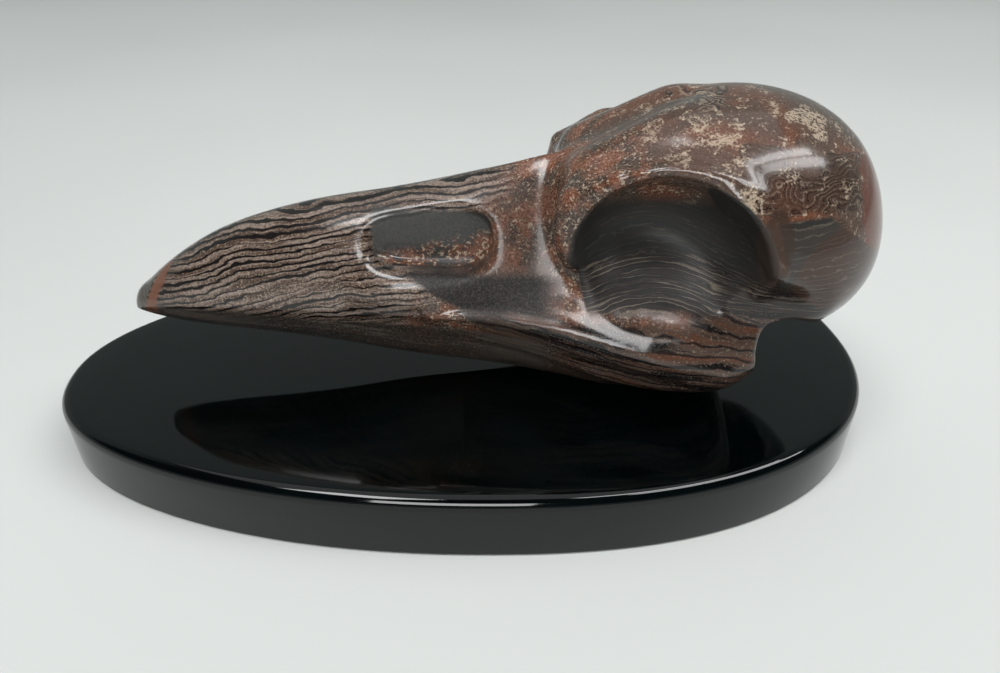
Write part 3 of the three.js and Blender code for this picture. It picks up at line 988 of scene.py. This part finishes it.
def shelf_stone(tree, colours, spot):
    """Dark brown stone under the eye, streaked black and dark red along its length."""
    level = spot.z + spot.s * 0.16 + spot.bend(8, 2, 0.6)
    tone = spot.streaks(level, (0.06, 0.08, 0.8), detail=3.0, roughness=0.6)
    body = tree.mix(tone.rise(0.42, 0.5), colours.soot, shade(colours.umber, 0.9))
    body = tree.mix(tone.rise(0.56, 0.62) * 0.8, body, shade(colours.russet, 0.5))
    body = tree.mix(spot.grain.rise(0.55, 0.72) * 0.55, body, shade(colours.cream, 0.7))
    thick = spot.streaks(level, (0.09, 0.1, 1.0), scale=1.3)
    return tree.mix(tree.lines(level, SHELF_PITCH, thick * 0.7 - 0.12) * 0.85, body, colours.soot)


def nostril_stone(tree, colours, spot):
    """A grey floor, rusty and flecked along its lower edge."""
    fleck = spot.fleck
    lower_edge = (spot.z - (spot.s - 46) * 0.25).rise(*NOSTRIL_RUST_FADE)
    rust = (spot.clots * 0.7 + fleck * 0.5).rise(0.55, 0.66) * lower_edge
    grey = tree.mix(spot.grain.rise(0.3, 0.8), colours.moss, shade(colours.slate, 1.3))
    rusty = tree.mix(fleck.rise(0.56, 0.62), shade(colours.russet, 0.8), shade(colours.cream, 0.7))
    return tree.mix(rust, grey, rusty)


def palate_stone(tree, colours, spot):
    """Dull grey-brown stone with short pale streaks."""
    level = spot.z + spot.s * 0.13 + spot.sway * 6 + spot.tremor * 0.8
    tone = spot.streaks(level, (0.05, 0.08, 0.7), detail=3.0, roughness=0.6)
    body = tree.mix(tone.rise(0.4, 0.6), shade(colours.slate, 0.8), shade(colours.slate, 2.2))
    body = tree.mix(tone.rise(0.6, 0.64) * 0.6, body, shade(colours.russet, 0.6))
    body = tree.mix(tree.lines(level, PALATE_PITCH, tone * 0.6 - 0.18) * 0.7, body, colours.soot)
    return tree.mix(spot.grain.rise(0.58, 0.72) * 0.6, body, shade(colours.cream, 0.7))


def tip_stone(tree, colours, spot, colour):
    """A red-brown streak across the beak, and grey-green stone in front of it."""
    streak = spot.s - (spot.z - 13) * 0.4 + spot.ripple * 2.5
    red = streak.band(*STREAK_RANGE, 0.35)
    colour = tree.mix(red * 0.9, colour, shade(colours.russet, 0.9))
    lines = tree.lines(spot.z * 0.7 + spot.s + spot.ripple * 3, TIP_PITCH, 0.12)
    tip = tree.mix(lines, shade(colours.slate, 1.7), colours.soot)
    return tree.mix(streak.rise(*TIP_FADE), colour, tip)


def dark_stone(settings):
    """Mirror-polished green-black stone, faintly clouded."""
    material, tree = new_material("dark_stone")
    here = tree.object_place()
    cloud = tree.noise(here, 60.0, 3.0, 0.6)
    mist = tree.noise(here, 900.0, 2.0, 0.5)
    colour = tree.mix(cloud.rise(0.4, 0.7), settings.colour, shade(settings.colour, 2.2))
    roughness = mist * MIST_ROUGHNESS + BASE_ROUGHNESS
    tree.finish({"Base Color": colour, "Roughness": roughness, "IOR": BASE_IOR})
    return material


def pale_floor(settings):
    """Plain pale matte floor."""
    material, tree = new_material("pale_floor")
    soft = tree.noise(tree.object_place(), 4.0, 2.0)
    colour = tree.mix(soft.rise(0.3, 0.7), settings.floor_colour, shade(settings.floor_colour, 0.93))
    tree.finish({"Base Color": colour, "Roughness": FLOOR_ROUGHNESS})
    return material


# Operators, one for each piece and one for the stage.


class CARVING_OT_skull(bpy.types.Operator):
    """Carves the raven skull and gives it its banded stone"""

    bl_idname = "carving.skull"
    bl_label = "Raven skull"

    def execute(self, context):
        settings = context.scene.carving_skull
        cell = settings.facet / MM
        margin = 2 * cell
        points, quads = zero_surface(skull, CARVING_LOW - margin, CARVING_HIGH + margin, cell)
        cos, sin = math.cos(SKULL_TURN), math.sin(SKULL_TURN)
        turn = np.array([[cos, -sin, 0], [sin, cos, 0], [0, 0, 1]])
        points = points * MM @ turn.T + np.array([TIP_X, TIP_Y, SEAT_Z])
        obj = mesh_object("raven_skull_carving", points, quads.tolist())
        obj.data.materials.append(banded_stone(settings))
        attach(obj, "root")
        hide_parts("raven_skull")
        return {"FINISHED"}


class CARVING_OT_base(bpy.types.Operator):
    """Turns the egg-shaped base with rounded edges"""

    bl_idname = "carving.base"
    bl_label = "Base"

    def execute(self, context):
        settings = context.scene.carving_base
        points, faces = base_surface(settings)
        obj = mesh_object("egg_base", points, faces)
        obj.data.materials.append(dark_stone(settings))
        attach(obj, "root")
        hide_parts("base")
        return {"FINISHED"}


def base_surface(settings, count=256, arc_steps=10, cap_shares=(0.2, 0.5, 0.8, 0.95)):
    """
    A profile of (inset, height) pairs carried round the outline: a small arc at the foot, the wall, and a
    larger arc of 90 degrees at the top edge. Rings that shrink to the middle close the top and the underside.
    """
    along, across = superellipse_ring(settings, count)
    half_length = settings.length / 2
    half_width = settings.width / 2
    quarter = np.linspace(0, np.pi / 2, arc_steps)
    foot = settings.foot_radius
    edge = settings.edge_radius
    foot_arc = np.stack([foot * (1 - np.sin(quarter)), foot * (1 - np.cos(quarter))], 1)
    edge_arc = np.stack(
        [edge * (1 - np.cos(quarter)), settings.thickness - edge * (1 - np.sin(quarter))], 1
    )
    profile = np.concatenate([foot_arc, edge_arc])
    rings = []
    for share in cap_shares:
        rings.append((foot_arc[0, 0], foot_arc[0, 1], share))
    for inset, height in profile:
        rings.append((inset, height, 1.0))
    for share in cap_shares[::-1]:
        rings.append((edge_arc[-1, 0], edge_arc[-1, 1], share))
    ring = np.array(rings)
    x = (half_length - ring[:, 0])[:, None] * ring[:, 2][:, None] * along
    y = (half_width - ring[:, 0])[:, None] * ring[:, 2][:, None] * across
    z = np.repeat(ring[:, 1][:, None], count, 1)
    points = np.stack([x, y, z], -1).reshape(-1, 3)
    poles = np.array([[0, 0, 0], [0, 0, settings.thickness]])
    points = np.concatenate([points, poles])
    i = np.arange(count)
    after = (i + 1) % count
    rows = np.arange(len(ring) - 1)[:, None] * count
    quads = np.stack([rows + i, rows + after, rows + count + after, rows + count + i], -1).reshape(-1, 4)
    low_pole = len(points) - 2
    high_pole = len(points) - 1
    last = (len(ring) - 1) * count
    low_fan = np.stack([np.full(count, low_pole), after, i], 1)
    high_fan = np.stack([np.full(count, high_pole), last + i, last + after], 1)
    return points, quads.tolist() + low_fan.tolist() + high_fan.tolist()


class CARVING_OT_stage(bpy.types.Operator):
    """Lays the pale floor and sets up the soft lights and the camera"""

    bl_idname = "carving.stage"
    bl_label = "Stage"

    def execute(self, context):
        settings = context.scene.carving_stage
        lay_floor(settings)
        set_world(context.scene)
        hang_lights()
        place_camera(context.scene, settings)
        return {"FINISHED"}


def lay_floor(settings, radius=2.5, count=96):
    """A flat disc under the base."""
    angle = np.linspace(0, 2 * np.pi, count, endpoint=False)
    points = np.stack([radius * np.cos(angle), radius * np.sin(angle), np.zeros(count)], 1)
    obj = mesh_object("pale_floor", points, [list(range(count))], smooth=False)
    obj.data.materials.append(pale_floor(settings))


def set_world(scene):
    """Pale behind the object and along the horizon, dark overhead and in front, as the stone mirrors it."""
    world = bpy.data.worlds.new("studio")
    scene.world = world
    world.use_nodes = True
    tree = Tree(world.node_tree)
    direction = tree.node("ShaderNodeTexCoord", {}, {}, GENERATED_OUTPUT)
    _, away, up = tree.parts(direction)
    behind = away.rise(-0.05, 0.2) * up.rise(0.9, 0.7)
    horizon = up.rise(0.24, 0.16)
    colour = tree.mix(behind.at_least(horizon), DARK_ROOM, PALE_ROOM)
    background = tree.node("ShaderNodeBackground", {}, {"Color": colour, "Strength": 1.0})
    out = tree.nodes.new("ShaderNodeOutputWorld")
    tree.links.new(background.socket, out.inputs["Surface"])


def towards(azimuth, elevation):
    """The direction at these angles. Azimuth 0 is the front, and a quarter turn is the +X end."""
    level = math.cos(elevation)
    return Vector((math.sin(azimuth) * level, -math.cos(azimuth) * level, math.sin(elevation)))


def hang_lights():
    for name, (azimuth, elevation, distance, size, power, roll) in LIGHTS.items():
        light = bpy.data.lights.new(name, "AREA")
        light.shape = "RECTANGLE"
        light.size, light.size_y = size
        light.energy = power
        back = towards(math.radians(azimuth), math.radians(elevation))
        turn = back.to_track_quat("Z", "Y") @ Quaternion((0, 0, 1), math.radians(roll))
        obj = bpy.data.objects.new(name, light)
        obj.location = back * distance + Vector((0, 0, LIT_HEIGHT))
        obj.rotation_euler = turn.to_euler()
        bpy.context.collection.objects.link(obj)


def place_camera(scene, settings):
    """Looks down at the object from in front, a little left of the middle, close up."""
    back = towards(settings.azimuth, settings.elevation)
    right = Vector((math.cos(settings.azimuth), math.sin(settings.azimuth), 0))
    up = back.cross(right)
    x = right * math.cos(settings.roll) + up * math.sin(settings.roll)
    y = up * math.cos(settings.roll) - right * math.sin(settings.roll)
    location = right * settings.sideways + up * settings.upwards + back * settings.distance
    camera = bpy.data.cameras.new("camera")
    camera.sensor_width = 36
    camera.lens = settings.lens
    camera.shift_y = 0.0023
    camera.clip_start = 0.005
    obj = bpy.data.objects.new("camera", camera)
    obj.matrix_world = Matrix.Translation(location) @ Matrix((x, y, back)).transposed().to_4x4()
    bpy.context.collection.objects.link(obj)
    scene.camera = obj
    scene.view_settings.view_transform = "Standard"


class CARVING_PT_panel(bpy.types.Panel):
    """Lists the sizes, the colours and what builds each piece"""

    bl_idname = "CARVING_PT_panel"
    bl_label = "Raven skull carving"
    bl_space_type = "VIEW_3D"
    bl_region_type = "UI"
    bl_category = "Carving"

    def draw(self, context):
        for name, operator in PANEL_ROWS:
            box = self.layout.box()
            settings = getattr(context.scene, name)
            for prop in settings.__annotations__:
                box.prop(settings, prop)
            box.operator(operator)


PANEL_ROWS = (
    ("carving_skull", "carving.skull"),
    ("carving_base", "carving.base"),
    ("carving_stage", "carving.stage"),
)
SETTINGS = {"carving_skull": SkullSettings, "carving_base": BaseSettings, "carving_stage": StageSettings}
CLASSES = (*SETTINGS.values(), CARVING_OT_skull, CARVING_OT_base, CARVING_OT_stage, CARVING_PT_panel)


def register():
    for cls in CLASSES:
        bpy.utils.register_class(cls)
    for name, group in SETTINGS.items():
        setattr(bpy.types.Scene, name, bpy.props.PointerProperty(type=group))


def unregister():
    for name in SETTINGS:
        delattr(bpy.types.Scene, name)
    for cls in reversed(CLASSES):
        bpy.utils.unregister_class(cls)


def main():
    register()
    bpy.ops.carving.stage()
    bpy.ops.carving.base()
    bpy.ops.carving.skull()
    bpy.context.view_layer.update()


if __name__ == "__main__":
    main()
